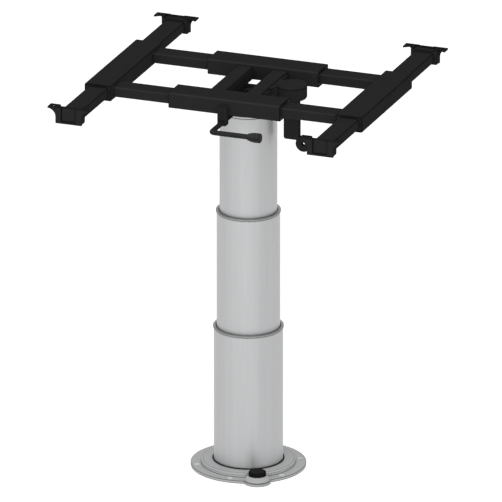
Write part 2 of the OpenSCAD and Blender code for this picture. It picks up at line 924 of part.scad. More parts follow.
module release_handle_knob() {
    rod_r = handle_rod_d / 2;
    color(plastic_black) translate([handle_reach - knob_len, handle_y, handle_z]) rotate([0, 90, 0])
        rotate_extrude() polygon([
            [rod_r + fit_gap, 0], [rod_r + knob_wall / 2, 0],
            [(rod_r + knob_wall / 2 + knob_d) / 3, knob_flare / 2], [knob_d / 2, knob_flare],
            [knob_d / 2, knob_len - knob_edge], [knob_d / 2 - knob_edge, knob_len], [0, knob_len],
            [0, knob_seat + fit_gap], [rod_r + fit_gap, knob_seat + fit_gap]
        ]);
}

// Carriage: two inner rails joined by the end beams

module inner_rail(y) {
    translate([0, y, rail_axis_z]) along_x() inner_tube(inner_len);
}

module front_inner_rail() {
    color(frame_black) inner_rail(-rail_spacing / 2);
}

module rear_inner_rail() {
    color(frame_black) inner_rail(rail_spacing / 2);
}

module end_beam(x) {
    translate([x, 0, rail_axis_z]) along_y() outer_tube(beam_len);
}

module left_beam() {
    color(frame_black) end_beam(-beam_spacing / 2);
}

module right_beam() {
    color(frame_black) end_beam(beam_spacing / 2);
}

module beam_glides() {
    color(plastic_black) for (sx = [-1, 1]) for (sy = [-1, 1])
        translate([sx * beam_spacing / 2, sy * (beam_len / 2 - glide_len / 2), rail_axis_z])
            along_y() tube_glide();
}

// Slides with their corner brackets

// Place of each screw that holds a bracket on a slide, pointing up from under its head
module at_bracket_screws(x) {
    for (sy = [-1, 1])
        translate([x, sy * bracket_screw_y, bracket_foot_z + bracket_screw_head_h]) children();
}

module slide(x) {
    difference() {
        translate([x, 0, rail_axis_z]) along_y() inner_tube(slide_len);
        at_bracket_screws(x) cylinder(h = rail_axis_z - bracket_foot_z - bracket_screw_head_h,
            d = bracket_screw_d + 2 * fit_gap);
    }
}

// Face of a bracket seen from the front: web, ears and the two round fillets under the ears
module bracket_outline() {
    web_h = bracket_h - bracket_corner;
    translate([0, bracket_h / 2]) round_rect(bracket_w, bracket_h, bracket_corner);
    translate([-bracket_w / 2, bracket_corner]) square([bracket_w, web_h]);
    translate([-ear_span / 2, bracket_h - ear_t]) square([ear_span, ear_t]);
    for (sx = [-1, 1]) difference() {
        translate([sx * (bracket_w / 2 + ear_w / 2), bracket_h - ear_t - ear_w / 2])
            square([ear_w, ear_w], center = true);
        translate([sx * ear_span / 2, bracket_h - ear_t - ear_w]) circle(ear_w);
    }
}

// Ears of a bracket seen from above, measured back from its outer face
module ear_outline() {
    for (sx = [-1, 1]) translate([sx * (bracket_w / 2 + (ear_w - ear_lap) / 2), ear_depth / 2])
        square([ear_w + ear_lap, ear_depth], center = true);
}

// Body of a bracket seen from the side, with its inner bottom edge rounded
module body_side() {
    translate([-ear_depth / 2, body_corner]) square([ear_depth, bracket_h - ear_t - body_corner]);
    translate([-ear_depth / 2, 0]) square([ear_depth - body_corner, body_corner]);
    translate([ear_depth / 2 - body_corner, body_corner]) circle(body_corner);
}

// Bracket with its outer face towards -Y
module front_bracket() {
    face_y = -bracket_reach / 2;
    difference() {
        union() {
            translate([0, face_y + bracket_plate_t, bracket_foot_z]) along_y()
                linear_extrude(height = bracket_plate_t) bracket_outline();
            translate([0, face_y, table_z - ear_t]) linear_extrude(height = ear_t) ear_outline();
            difference() {
                intersection() {
                    translate([0, face_y + ear_depth, bracket_foot_z]) along_y()
                        linear_extrude(height = ear_depth) bracket_outline();
                    translate([0, face_y + ear_depth / 2, bracket_foot_z]) along_x()
                        linear_extrude(height = bracket_w, center = true) body_side();
                }
                translate([0, face_y + ear_depth + cut, rail_axis_z]) along_y()
                    linear_extrude(height = ear_depth - bracket_plate_t + cut)
                        round_rect(inner_w + 2 * fit_gap, inner_h + 2 * fit_gap, inner_corner + fit_gap);
            }
            translate([0, face_y + bracket_plate_t + tongue_len / 2, rail_axis_z]) cube([
                inner_w - 2 * inner_wall - 2 * tongue_gap, tongue_len,
                inner_h - 2 * inner_wall - 2 * tongue_gap
            ], center = true);
        }
        translate([-recess_left, face_y - cut, bracket_foot_z + ledge_h])
            cube([recess_left + recess_right, recess_t + cut, bracket_h]);
        for (sx = [-1, 1]) translate([sx * ear_hole_x, -ear_hole_y, table_z - ear_t - cut])
            cylinder(h = ear_t + 2 * cut, d = ear_hole_d);
        translate([0, -bracket_screw_y, bracket_foot_z - cut]) {
            cylinder(h = rail_axis_z - bracket_foot_z + cut, d = bracket_screw_d + 2 * fit_gap);
            cylinder(h = bracket_screw_head_h + cut, d = bracket_screw_head_d + 2 * fit_gap);
        }
    }
}

// Bracket on the beam at x, facing the front (-1) or the rear (1)
module corner_bracket(x, facing) {
    translate([x, 0, 0]) mirror([0, facing > 0 ? 1 : 0, 0]) front_bracket();
}

module bracket_screws(x) {
    at_bracket_screws(x)
        round_screw(bracket_screw_d, bracket_screw_head_d, bracket_screw_head_h, bracket_screw_len);
}

module left_slide() {
    color(frame_black) slide(-beam_spacing / 2);
}

module left_front_bracket() {
    color(frame_black) corner_bracket(-beam_spacing / 2, -1);
}

module left_rear_bracket() {
    color(frame_black) corner_bracket(-beam_spacing / 2, 1);
}

module left_bracket_screws() {
    color(zinc) bracket_screws(-beam_spacing / 2);
}

module right_slide() {
    color(frame_black) slide(beam_spacing / 2);
}

module right_front_bracket() {
    color(frame_black) corner_bracket(beam_spacing / 2, -1);
}

module right_rear_bracket() {
    color(frame_black) corner_bracket(beam_spacing / 2, 1);
}

module right_bracket_screws() {
    color(zinc) bracket_screws(beam_spacing / 2);
}

base_plate();
base_seal_ring();
lower_tube();
tube_foot_ring();
column_screws();
lower_collar();
lower_guide_bush();
lower_gas_rod();
lower_rod_nut();
button_housing();
button_spring();
foot_button();
button_stem();
middle_tube();
middle_collar();
middle_guide_bush();
middle_foot_glide();
middle_floor_plate();
lower_gas_cylinder();
upper_gas_cylinder();
upper_tube();
upper_foot_glide();
head_plate();
swivel_post();
swivel_washer();
swivel_nut();
upper_gas_rod();
upper_rod_nut();
head_hub();
centre_box();
left_cross_beam();
right_cross_beam();
front_rail();
rear_rail();
rail_glides();
frame_bolts();
brake_housing();
brake_cap();
brake_housing_screws();
handle_bracket();
handle_bracket_screws();
release_handle_rod();
release_handle_knob();
brake_lever();
brake_spindle();
front_inner_rail();
rear_inner_rail();
left_beam();
right_beam();
beam_glides();
left_slide();
left_front_bracket();
left_rear_bracket();
left_bracket_screws();
right_slide();
right_front_bracket();
right_rear_bracket();
right_bracket_screws();
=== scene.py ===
import math

import bmesh
import bpy
from mathutils import Matrix, Vector


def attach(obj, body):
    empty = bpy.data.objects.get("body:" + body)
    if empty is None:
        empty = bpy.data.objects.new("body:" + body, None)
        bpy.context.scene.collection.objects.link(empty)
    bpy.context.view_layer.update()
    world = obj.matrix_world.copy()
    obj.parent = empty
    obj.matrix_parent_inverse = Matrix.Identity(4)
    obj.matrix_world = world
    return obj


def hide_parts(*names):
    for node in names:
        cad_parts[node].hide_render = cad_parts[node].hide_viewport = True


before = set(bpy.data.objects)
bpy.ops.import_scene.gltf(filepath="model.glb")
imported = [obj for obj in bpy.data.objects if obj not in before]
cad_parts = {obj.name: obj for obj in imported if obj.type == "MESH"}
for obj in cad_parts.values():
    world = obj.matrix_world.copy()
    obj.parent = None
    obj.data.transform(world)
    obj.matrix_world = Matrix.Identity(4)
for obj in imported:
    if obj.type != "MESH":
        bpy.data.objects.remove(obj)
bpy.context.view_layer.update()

# Camera and stage
# The photograph shows no convergence, so the camera stands about 41 m off with a very long lens. A
# pale floor, a soft front lamp and an even sky stand in for the studio, and keep the table's shadow.
mm = 0.001
swing, rise = math.radians(20.715), math.radians(19.676)
lens, sensor = 1680, 36
shown_width, aim_right, aim_up = 869.75, 4.42, 368.8
camera_right = Vector((math.cos(swing), math.sin(swing), 0))
camera_back = Vector((math.sin(swing) * math.cos(rise), -math.cos(swing) * math.cos(rise), math.sin(rise)))
camera_up = camera_back.cross(camera_right)
look_at = camera_right * aim_right * mm + camera_up * aim_up * mm

camera = bpy.data.objects.new("camera", bpy.data.cameras.new("camera"))
bpy.context.scene.collection.objects.link(camera)
camera.data.sensor_width = sensor
camera.data.lens = lens
camera.data.clip_start = 1
camera.data.clip_end = 100
camera.matrix_world = Matrix.Translation(look_at + camera_back * shown_width * mm * lens / sensor) @ Matrix(
    (camera_right, camera_up, camera_back)).transposed().to_4x4()
bpy.context.scene.camera = camera
bpy.context.scene.view_settings.view_transform = "Standard"

column_middle = Vector((0, 0, 0.4))


def hang_lamp(name, place, size, watts):
    """A square soft lamp at a place in metres, turned towards the middle of the column."""
    lamp = bpy.data.objects.new(name, bpy.data.lights.new(name, "AREA"))
    bpy.context.scene.collection.objects.link(lamp)
    lamp.data.size = size
    lamp.data.energy = watts
    lamp.location = place
    lamp.rotation_euler = (Vector(place) - column_middle).to_track_quat("Z", "Y").to_euler()


hang_lamp("front_lamp", (0.5, -3.3, 1.6), 6.0, 64)

bpy.ops.object.select_all(action="DESELECT")
bpy.ops.mesh.primitive_plane_add(size=60, location=(0, 0, -0.2 * mm))
floor = bpy.context.object
floor.name = "studio_floor"


def feed(node, inputs):
    """Gives inputs of a node, by name or number, plain values or the outputs of other nodes."""
    for key, value in inputs.items():
        if isinstance(value, bpy.types.NodeSocket):
            node.id_data.links.new(value, node.inputs[key])
        else:
            node.inputs[key].default_value = value
    return node


def add_node(tree, kind, inputs, operation=None):
    """A new shader node with those inputs."""
    node = tree.nodes.new("ShaderNode" + kind)
    if operation:
        node.operation = operation
    return feed(node, inputs)


def seen_white(tree, plain, shown):
    """A strength that is shown to the camera and in gloss and glass, and plain for all other light."""
    path = add_node(tree, "LightPath", {})
    seen = add_node(tree, "Math", {0: path.outputs["Is Camera Ray"], 1: path.outputs["Is Glossy Ray"]},
                    "MAXIMUM")
    through = add_node(tree, "Math", {0: seen.outputs[0], 1: path.outputs["Is Transmission Ray"]}, "MAXIMUM")
    strength = add_node(tree, "MapRange", {"Value": through.outputs[0], "To Min": plain, "To Max": shown})
    return strength.outputs["Result"]


world = bpy.data.worlds.new("studio")
world.use_nodes = True
feed(world.node_tree.nodes["Background"],
     {"Color": (1, 1, 1, 1), "Strength": seen_white(world.node_tree, 0.55, 1.0)})
bpy.context.scene.world = world

floor_paper = bpy.data.materials.new("floor_paper")
floor_paper.use_nodes = True
paper_tree = floor_paper.node_tree
paper = feed(paper_tree.nodes["Principled BSDF"], {
    "Base Color": (0.8, 0.8, 0.8, 1), "Roughness": 0.9, "Specular IOR Level": 0,
    "Emission Color": (1, 1, 1, 1), "Emission Strength": seen_white(paper_tree, 0, 0.65)})
below = add_node(paper_tree, "NewGeometry", {})
clear = add_node(paper_tree, "BsdfTransparent", {})
one_way = add_node(paper_tree, "MixShader", {
    "Fac": below.outputs["Backfacing"], 1: paper.outputs["BSDF"], 2: clear.outputs["BSDF"]})
feed(paper_tree.nodes["Material Output"], {"Surface": one_way.outputs["Shader"]})
floor.data.materials.append(floor_paper)

# Floor casting
# The foot is one aluminium casting: a round flange with a raised boss that the column stands in and a
# lug for the foot button, turned on its faces, drilled for six floor screws and painted light grey.


def finish_for(name, dark, light, patch, fleck, relief, rough, stretch=(1, 1, 1), metal=0.0, gloss=0.5,
               seam=0.15, corner="X", corner_tone=1.0):
    """A surface with broad patches of colour, a fine grain in relief, and a roughness that follows both.
    patch, fleck and relief are in mm, and stretch lengthens the pattern along an axis. Painted shade
    darkens its sharp edges, hollow or not, to the edge-shade factor, and the round edges between a side that
    faces corner and the top or foot take the round-edge factor: a painted highlight above 1, painted shade
    below 1."""
    finish = bpy.data.materials.new(name)
    finish.use_nodes = True
    tree = finish.node_tree
    place = add_node(tree, "TexCoord", {})
    run = add_node(tree, "Mapping", {"Vector": place.outputs["Object"], "Scale": [1 / s for s in stretch]})
    cloud = add_node(tree, "TexNoise", {"Vector": run.outputs["Vector"], "Scale": 1000 / patch, "Detail": 5})
    grain = add_node(tree, "TexNoise", {"Vector": run.outputs["Vector"], "Scale": 1000 / fleck, "Detail": 3})
    both = add_node(tree, "Math", {0: cloud.outputs["Fac"], 1: grain.outputs["Fac"]}, "ADD")
    half = add_node(tree, "Math", {0: both.outputs[0], 1: 0.5}, "MULTIPLY")
    tone = add_node(tree, "ValToRGB", {"Fac": half.outputs[0]})
    for stop, level, colour in zip(tone.color_ramp.elements, (0.35, 0.65), (dark, light)):
        stop.position = level
        stop.color = (*colour, 1)
    # Painted shade along sharp edges: where the Bevel node's normal parts from the true one, the colour is
    # darkened.
    softened = add_node(tree, "Bevel", {"Radius": 2.0 * mm})
    softened.samples = 8
    sharp = add_node(tree, "NewGeometry", {})
    match = add_node(tree, "VectorMath", {0: softened.outputs["Normal"], 1: sharp.outputs["Normal"]},
                     "DOT_PRODUCT")
    edge_shade_mask = add_node(tree, "MapRange", {
        "Value": match.outputs["Value"], "From Min": 0.93, "From Max": 0.995, "To Min": seam})
    # Painted highlight or painted shade on the round edges that slant between the corner axis and up.
    facing = add_node(tree, "SeparateXYZ", {"Vector": place.outputs["Normal"]})
    slant = add_node(tree, "Math", {0: facing.outputs[corner], 1: facing.outputs["Z"]}, "MULTIPLY")
    either = add_node(tree, "Math", {0: slant.outputs[0]}, "ABSOLUTE")
    round_edge_light_mask = add_node(tree, "MapRange", {
        "Value": either.outputs[0], "From Min": 0.1, "From Max": 0.42, "To Min": 1, "To Max": corner_tone})
    edges = add_node(tree, "Math", {0: edge_shade_mask.outputs["Result"], 1: round_edge_light_mask.outputs["Result"]}, "MULTIPLY")
    tone_with_painted_edges = add_node(tree, "VectorMath", {0: tone.outputs["Color"], "Scale": edges.outputs[0]}, "SCALE")
    wear = add_node(tree, "MapRange", {
        "Value": half.outputs[0], "From Min": 0.3, "From Max": 0.7, "To Min": rough[0], "To Max": rough[1]})
    bump = add_node(tree, "Bump", {"Distance": relief * mm, "Height": grain.outputs["Fac"]})
    feed(tree.nodes["Principled BSDF"], {
        "Base Color": tone_with_painted_edges.outputs["Vector"], "Roughness": wear.outputs["Result"],
        "Normal": bump.outputs["Normal"], "Metallic": metal, "Specular IOR Level": gloss})
    return finish


# The cast paint's edges darken almost to black: painted shade along every edge of the casting.
cast_paint = finish_for("cast_paint", (0.55, 0.555, 0.56), (0.61, 0.615, 0.62), 30, 1.1, 0.05, (0.5, 0.62),
                        gloss=0.3, seam=0.03)
bare_metal = finish_for("bare_metal", (0.80, 0.805, 0.81), (0.86, 0.865, 0.87), 10, 0.6, 0.01, (0.45, 0.55),
                        gloss=0.3, seam=1.0)


def opened(name):
    """Names the new piece, fixes its place in its mesh and opens it in edit mode with nothing picked."""
    piece = bpy.context.object
    piece.name = piece.data.name = name
    bpy.ops.object.transform_apply(location=True, rotation=True, scale=True)
    bpy.ops.object.mode_set(mode="EDIT")
    bpy.ops.mesh.select_all(action="DESELECT")
    return piece


def closed(piece):
    bpy.ops.object.mode_set(mode="OBJECT")
    return piece


def turned(turn):
    """The turn about x, then y, then z, as a matrix."""
    about_x, about_y, about_z = (Matrix.Rotation(turn[i], 3, "XYZ"[i]) for i in range(3))
    return about_z @ about_y @ about_x


def round_blank(name, radius, low, high, centre=(0, 0), sides=128, turn=(0, 0, 0)):
    """A round bar from level low to high, or along the axis that turn lays it on, open in edit mode."""
    bpy.ops.object.select_all(action="DESELECT")
    spot = turned(turn) @ Vector((0, 0, (low + high) / 2)) + Vector((*centre, 0)[:3])
    bpy.ops.mesh.primitive_cylinder_add(vertices=sides, radius=radius * mm, depth=(high - low) * mm,
                                        location=spot * mm, rotation=turn)
    return opened(name)


def block_blank(name, low, high):
    """A block between two corners, open in edit mode."""
    low, high = Vector(low), Vector(high)
    bpy.ops.object.select_all(action="DESELECT")
    bpy.ops.mesh.primitive_cube_add(size=1, location=(low + high) / 2 * mm, scale=(high - low) * mm)
    return opened(name)


def pick(test, kind="FACE"):
    """Selects the faces whose centre, in mm, and normal pass the test, or edges by centre and direction."""
    bpy.ops.mesh.select_mode(type=kind)
    bpy.ops.mesh.select_all(action="DESELECT")
    mesh = bmesh.from_edit_mesh(bpy.context.edit_object.data)
    for part in mesh.faces if kind == "FACE" else mesh.edges:
        if kind == "FACE":
            centre, way = part.calc_center_median(), part.normal
        else:
            centre = (part.verts[0].co + part.verts[1].co) / 2
            way = (part.verts[1].co - part.verts[0].co).normalized()
        if test(centre / mm, way):
            part.select_set(True)
    bmesh.update_edit_mesh(bpy.context.edit_object.data)


def top_face(c, n):
    return n.z > 0.99


def foot_face(c, n):
    return n.z < -0.99


def inset(width, depth=0):
    bpy.ops.mesh.inset(thickness=width * mm, depth=depth * mm)


def pull(x=0, y=0, z=0):
    """Extrudes the picked faces by that many mm."""
    bpy.ops.mesh.extrude_region_move(TRANSFORM_OT_translate={"value": (x * mm, y * mm, z * mm)})


def widen(factor, axis):
    """Scales the picked face about its middle, except along its axis."""
    bpy.ops.transform.resize(value=[1 if along else factor for along in axis])


def round_tool(radius, low, high, centre=(0, 0), sides=48, turn=(0, 0, 0)):
    """A round bar to cut with or to join."""
    return closed(round_blank("tool", radius, low, high, centre, sides, turn))


def block_tool(low, high):
    """A block to cut with or to join."""
    return closed(block_blank("tool", low, high))


def flared_tool(radius, wide, low, middle, upper, high, centre, sides, turn=(0, 0, 0)):
    """A round bar whose radius goes over to wide between its middle and upper levels."""
    tool = round_blank("tool", radius, low, middle, centre, sides, turn)
    axis = [round(part) for part in turned(turn) @ Vector((0, 0, 1))]
    pick(lambda c, n: n.dot(Vector(axis)) > 0.99)
    pull(*((upper - middle) * part for part in axis))
    widen(wide / radius, axis)
    pull(*((high - upper) * part for part in axis))
    return closed(tool)


def chosen(piece):
    bpy.ops.object.select_all(action="DESELECT")
    piece.select_set(True)
    bpy.context.view_layer.objects.active = piece
    return piece


def cut_with(piece, *tools, way="DIFFERENCE"):
    """Cuts the tools out of the piece, or joins them to it, and removes them."""
    for tool in tools:
        chosen(piece)
        step = piece.modifiers.new("cut", "BOOLEAN")
        step.operation = way
        step.solver = "EXACT"
        step.object = tool
        bpy.ops.object.modifier_apply(modifier="cut")
        bpy.data.objects.remove(tool)
    return piece


def ease(piece, width, turns=2, over=40):
    """Rounds every edge sharper than over degrees by width mm."""
    chosen(piece)
    step = piece.modifiers.new("ease", "BEVEL")
    step.width = width * mm
    step.segments = turns
    step.limit_method = "ANGLE"
    step.angle_limit = math.radians(over)
    step.miter_outer = "MITER_ARC"
    bpy.ops.object.modifier_apply(modifier="ease")
    return piece


def fit(piece, body, slot, finish, *nodes):
    """Smooths the finished piece, paints it and puts it on its body in place of its CAD nodes."""
    chosen(piece)
    bpy.ops.object.shade_smooth_by_angle(angle=math.radians(50))
    step = piece.modifiers.new("flat", "WEIGHTED_NORMAL")
    step.keep_sharp = True
    bpy.ops.object.modifier_apply(modifier="flat")
    piece.data.materials.clear()
    piece.data.materials.append(finish)
    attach(piece, body)
    if nodes:
        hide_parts(*nodes)
    return piece


def on_circle(radius, count, start=0):
    return [(radius * math.cos(math.radians(start + 360 * i / count)),
             radius * math.sin(math.radians(start + 360 * i / count))) for i in range(count)]


flange_r, boss_r, tube_r = 100, 82, 60
flange_top, boss_top, tube_foot = 5, 12, 5
boss_edge, seat_gap = 3, 0.1
lug_r, lug_reach, lug_angle = 23.5, 94.8, math.radians(-60)
button_place = button_x, button_y = lug_reach * math.cos(lug_angle), lug_reach * math.sin(lug_angle)
housing_r, housing_top, well_r, well_floor = 22, 14, 15.3, 2
floor_screws, floor_hole_r, sink_foot, sink_r = on_circle(91, 6, 30), 3.25, 2.5, 5.75
column_screws, column_hole_r, column_sink_top, column_sink_r = on_circle(51.5, 4, 45), 2.6, 2.25, 4.85

casting = round_blank("base_casting", flange_r, 0, flange_top, sides=192)
pick(top_face)
inset(flange_r - boss_r)
pull(z=boss_top - boss_edge - flange_top)
inset(boss_edge, boss_edge)
inset(boss_r - boss_edge - tube_r - seat_gap)
pull(z=tube_foot - boss_top)
closed(casting)
cut_with(casting, round_tool(lug_r, 0, flange_top, button_place, 96), way="UNION")
cut_with(casting, round_tool(housing_r + 0.1, flange_top + 0.001, housing_top, button_place, 96),
         round_tool(well_r, well_floor, flange_top + 4, button_place, 96),
         *(flared_tool(floor_hole_r, sink_r, -1, sink_foot, flange_top, flange_top + 1, spot, 48)
           for spot in floor_screws),
         *(flared_tool(column_sink_r, column_hole_r, -1, 0, column_sink_top, column_sink_top + 4, spot, 40)
           for spot in column_screws))
ease(casting, 0.4)
fit(casting, "base", "cast_base", cast_paint, "base_plate")
casting.data.materials.append(bare_metal)
for face in casting.data.polygons:
    spot = face.center / mm
    if face.normal.z < 0.95 and any(
            math.hypot(spot.x - x, spot.y - y) < sink_r + 0.15 for x, y in floor_screws):
        face.material_index = 1

# Foot button
# A round rubber button with grip flutes stands in a tapered cast collar on the lug. Pressed with the
# foot, it opens the gas springs. Its spring and stem stay the frame's own pieces.
housing_top_r = 16.8
pad_r, pad_foot, pad_side_top = 15, 6.3, 20
dome_rings = ((0.3, 0.5), (0.7, 0.4), (2, 0.3), (4, 0.22), (4, 0.08))
spring_wall, spring_depth, stem_wall, stem_depth = 5.6, 10.2, 6.3, 2
flute_count, flute_r, flute_foot = 24, 1.3, 14.3
upright = (0, 0, 1)

collar = round_blank("button_collar", housing_r, flange_top, housing_top, button_place, 96)
pick(top_face)
widen(housing_top_r / housing_r, upright)
inset(housing_top_r - well_r)
pick(foot_face)
inset(housing_r - well_r)
pick(lambda c, n: abs(n.z) > 0.99 and math.hypot(c.x - button_x, c.y - button_y) < 1)
bpy.ops.mesh.bridge_edge_loops()
closed(collar)
ease(collar, 0.4)
fit(collar, "base", "cast_base", cast_paint, "button_housing")

soft_rubber = finish_for("soft_rubber", (0.02, 0.02, 0.0205), (0.028, 0.028, 0.0285), 12, 0.6, 0.04,
                         (0.6, 0.78), gloss=0.01)

button = round_blank("foot_pad", pad_r, pad_foot, pad_side_top, button_place, 144)
pick(top_face)
for width, lift in dome_rings:
    inset(width, lift)
pick(foot_face)
inset(spring_wall)
pull(z=spring_depth)
inset(stem_wall)
pull(z=stem_depth)
closed(button)
cut_with(button, *(round_tool(flute_r, flute_foot, pad_side_top + 3, (button_x + x, button_y + y), 16)
                   for x, y in on_circle(pad_r, flute_count)))
ease(button, 0.3, over=55)
fit(button, "button", "black_rubber", soft_rubber, "foot_button")

# Seal at the foot of the column
# A thin black rubber ring lies on the boss round the lower tube and keeps water out.
seal_r, seal_height = 62.5, 1.8


def round_tube(name, outside, inside, low, high, sides=160):
    """A turned ring or tube between two levels."""
    piece = round_blank(name, outside, low, high, sides=sides)
    pick(lambda c, n: abs(n.z) > 0.99)
    inset(outside - inside)
    bpy.ops.mesh.bridge_edge_loops()
    return closed(piece)


seal = ease(round_tube("foot_seal", seal_r, tube_r + seat_gap, boss_top, boss_top + seal_height), 0.7, 3)
fit(seal, "base", "black_rubber", soft_rubber, "base_seal_ring")

# Column
# Three drawn aluminium tubes, brushed along their length and clear anodised, slide in one another.
# A turned collar with a black wiper lip closes the top of each outer tube. The lip is a real seal and also
# fills the gap round the tube inside it with black, painted shade for that gap.
tube_step, tube_wall, tube_length = 5, 3, 248
middle_foot, upper_foot, column_top = 217, 429, 650
lower_top, middle_top = tube_foot + tube_length, middle_foot + tube_length
middle_r, upper_r = tube_r - tube_step, tube_r - 2 * tube_step
collar_rim, collar_wall, collar_height, lip_wall, lip_height = 1.2, 5, 4, 1, 3.6

# The column tubes' sharp edges darken as painted shade.
brushed_aluminium = finish_for("brushed_aluminium", (0.46, 0.463, 0.468), (0.51, 0.513, 0.518), 9, 1.3, 0.012,
                               (0.5, 0.6), (1, 1, 60), metal=1.0, seam=0.05)
# The collar rings are a darker aluminium than the tubes: painted shade for the dark band round each collar.
# Their edges also darken almost to black as painted shade.
turned_aluminium_painted_shade = finish_for("turned_aluminium_painted_shade", (0.3, 0.302, 0.306), (0.34, 0.342, 0.346), 20, 0.8, 0.01,
                              (0.45, 0.55), metal=1.0, seam=0.01)

for name, node, body, outside, low, high in (
        ("column_tube_lower", "lower_tube", "base", tube_r, tube_foot, lower_top),
        ("column_tube_middle", "middle_tube", "middle_stage", middle_r, middle_foot, middle_top),
        ("column_tube_upper", "upper_tube", "upper_stage", upper_r, upper_foot, column_top)):
    tube = ease(round_tube(name, outside, outside - tube_wall, low, high, 192), 0.4)
    fit(tube, body, "column_aluminium", brushed_aluminium, node)
for name, wiper, node, body, outside, low in (
        ("lower_cap_ring", "lower_wiper", "lower_collar", "base", tube_r, lower_top),
        ("middle_cap_ring", "middle_wiper", "middle_collar", "middle_stage", middle_r, middle_top)):
    outside += collar_rim
    ring = ease(round_tube(name, outside, outside - collar_wall, low + 0.3, low + collar_height), 0.5, 3)
    fit(ring, body, "column_aluminium", turned_aluminium_painted_shade, node)
    lip_r = outside - collar_wall + 0.1
    lip = ease(round_tube(wiper, lip_r, lip_r - lip_wall, low, low + lip_height), 0.3)
    fit(lip, body, "black_rubber", soft_rubber)

# Turning head
# A black painted steel hub turns on the head plate of the upper tube. It carries the two cross beams,
# which four bolts hold from below.
hub_r, hub_foot, frame_z = 56, 656.2, 679.5
hub_edge, hub_edge_height = 10, 3.5
under_hub, over_hub = 655, 681
cross_x, cross_half = 32.5, 15
bolt_y, bolt_hole_r, bolt_head_r, bolt_seat = 24, 3.1, 5.2, 663.2
post_hole_r = 10.1
shaft_z, shaft_r, shaft_hole_r = 668.5, 4.5, 4.6
wall, centre_reach, centre_height = 2.5, 27, 9
along_x, along_y, along_z = 0, 1, 2
to_front = (math.radians(90), 0, 0)


def frame_paint(name, **edges):
    """The black paint of the frame. The painted highlight and painted shade on its edges differ from one kind
    of piece to another.
    """
    return finish_for(name, (0.0275, 0.0278, 0.0282), (0.0325, 0.0328, 0.0332), 25, 0.9, 0.03, (0.5, 0.62),
                      gloss=0.0005, **edges)


black_paint = frame_paint("black_paint")

hub = round_blank("head_disc", hub_r, hub_foot, frame_z - hub_edge_height)
pick(top_face)
inset(hub_edge, hub_edge_height)
closed(hub)
cut_with(hub, round_tool(post_hole_r, under_hub, over_hub),
         round_tool(shaft_hole_r, 0, hub_r + 4, (0, 0, shaft_z), 32, to_front))
for x in (-cross_x, cross_x):
    for y in (-bolt_y, bolt_y):
        cut_with(hub, round_tool(bolt_hole_r, under_hub, over_hub, (x, y), 32),
                 round_tool(bolt_head_r, under_hub, bolt_seat, (x, y), 40))
ease(hub, 0.5)
fit(hub, "top_frame", "black_frame", black_paint, "head_hub")


def bevel_edges(width, turns, test):
    """Rounds the edges whose centre, in mm, and direction pass the test."""
    pick(test, "EDGE")
    bpy.ops.mesh.bevel(offset=width * mm, segments=turns, affect="EDGES")


def box_tube(name, low, high, way, thick, corner):
    """A drawn box tube between two corners that runs along the axis way, with round long edges."""
    piece = block_blank(name, low, high)
    if corner:
        bevel_edges(corner, 6, lambda c, w: abs(w[way]) > 0.9)
    pick(lambda c, n: abs(n[way]) > 0.9)
    inset(thick)
    bpy.ops.mesh.bridge_edge_loops()
    return closed(piece)


centre_half = cross_x - cross_half
centre = box_tube("centre_frame", (-centre_half, -centre_reach, frame_z),
                  (centre_half, centre_reach, frame_z + centre_height), along_z, wall, 0)
fit(ease(centre, 0.5), "top_frame", "black_frame", black_paint, "centre_box")

# Cross beams and outer rails
# Black painted steel box tubes, welded end to side: two cross beams over the hub, and a front and a
# rear rail that guide the sliding part.
cross_height, cross_corner = 24, 4
rail_y, rail_half, rail_reach, rail_top, rail_corner = 94.5, 25, 102, 708, 3.5
brake_screws, brake_screw_z, brake_hole_r = (-45, 45), 691.5, 2.6
handle_screws, small_hole_r = (684, 693), 2.1
cross_side, rail_front = cross_x + cross_half, rail_y + rail_half
to_right, to_back = (0, math.radians(90), 0), (math.radians(-90), 0, 0)

# Lit and shaded copies of the black paint: a painted highlight on the round long edges of the rails and the
# handle rod, painted shade on those of the beams and slides.
black_paint_lit_edges = frame_paint("black_paint_lit_edges", corner="Y", corner_tone=1.4)
black_paint_shaded_edges = frame_paint("black_paint_shaded_edges", corner="X", corner_tone=0.6)

for name, node, side in (("cross_tube_left", "left_cross_beam", -1),
                         ("cross_tube_right", "right_cross_beam", 1)):
    beam = box_tube(name, (side * cross_x - cross_half, rail_half - rail_y, frame_z),
                    (side * cross_x + cross_half, rail_y - rail_half, frame_z + cross_height),
                    along_y, wall, cross_corner)
    cut_with(beam, *(round_tool(bolt_hole_r, frame_z - 0.5, frame_z + 3.5, (side * cross_x, y), 32)
                     for y in (-bolt_y, bolt_y)))
    if side > 0:
        cut_with(beam, *(round_tool(brake_hole_r, cross_side - 3.5, cross_side + 1.5, (0, y, brake_screw_z),
                                    32, to_right) for y in brake_screws))
    fit(ease(beam, 0.4), "top_frame", "black_frame", black_paint_shaded_edges, node)
for name, node, side in (("outer_rail_front", "front_rail", -1), ("outer_rail_rear", "rear_rail", 1)):
    rail = box_tube(name, (-rail_reach, side * rail_y - rail_half, frame_z),
                    (rail_reach, side * rail_y + rail_half, rail_top), along_x, wall, rail_corner)
    if side < 0:
        cut_with(rail, *(round_tool(small_hole_r, -3, 5, (0, -rail_front, z), 32, to_back)
                         for z in handle_screws))
    fit(ease(rail, 0.4), "top_frame", "black_frame", black_paint_lit_edges, node)

# Sliding carriage
# Two inner rails run in the outer rails on plastic glides and carry the end beams, all black painted
# box tube.
beam_x, beam_reach = 230.5, 122
inner_half, inner_foot, inner_top, inner_wall, inner_corner = 18, 684.5, 703, 2, 3
inner_reach = beam_x - rail_half

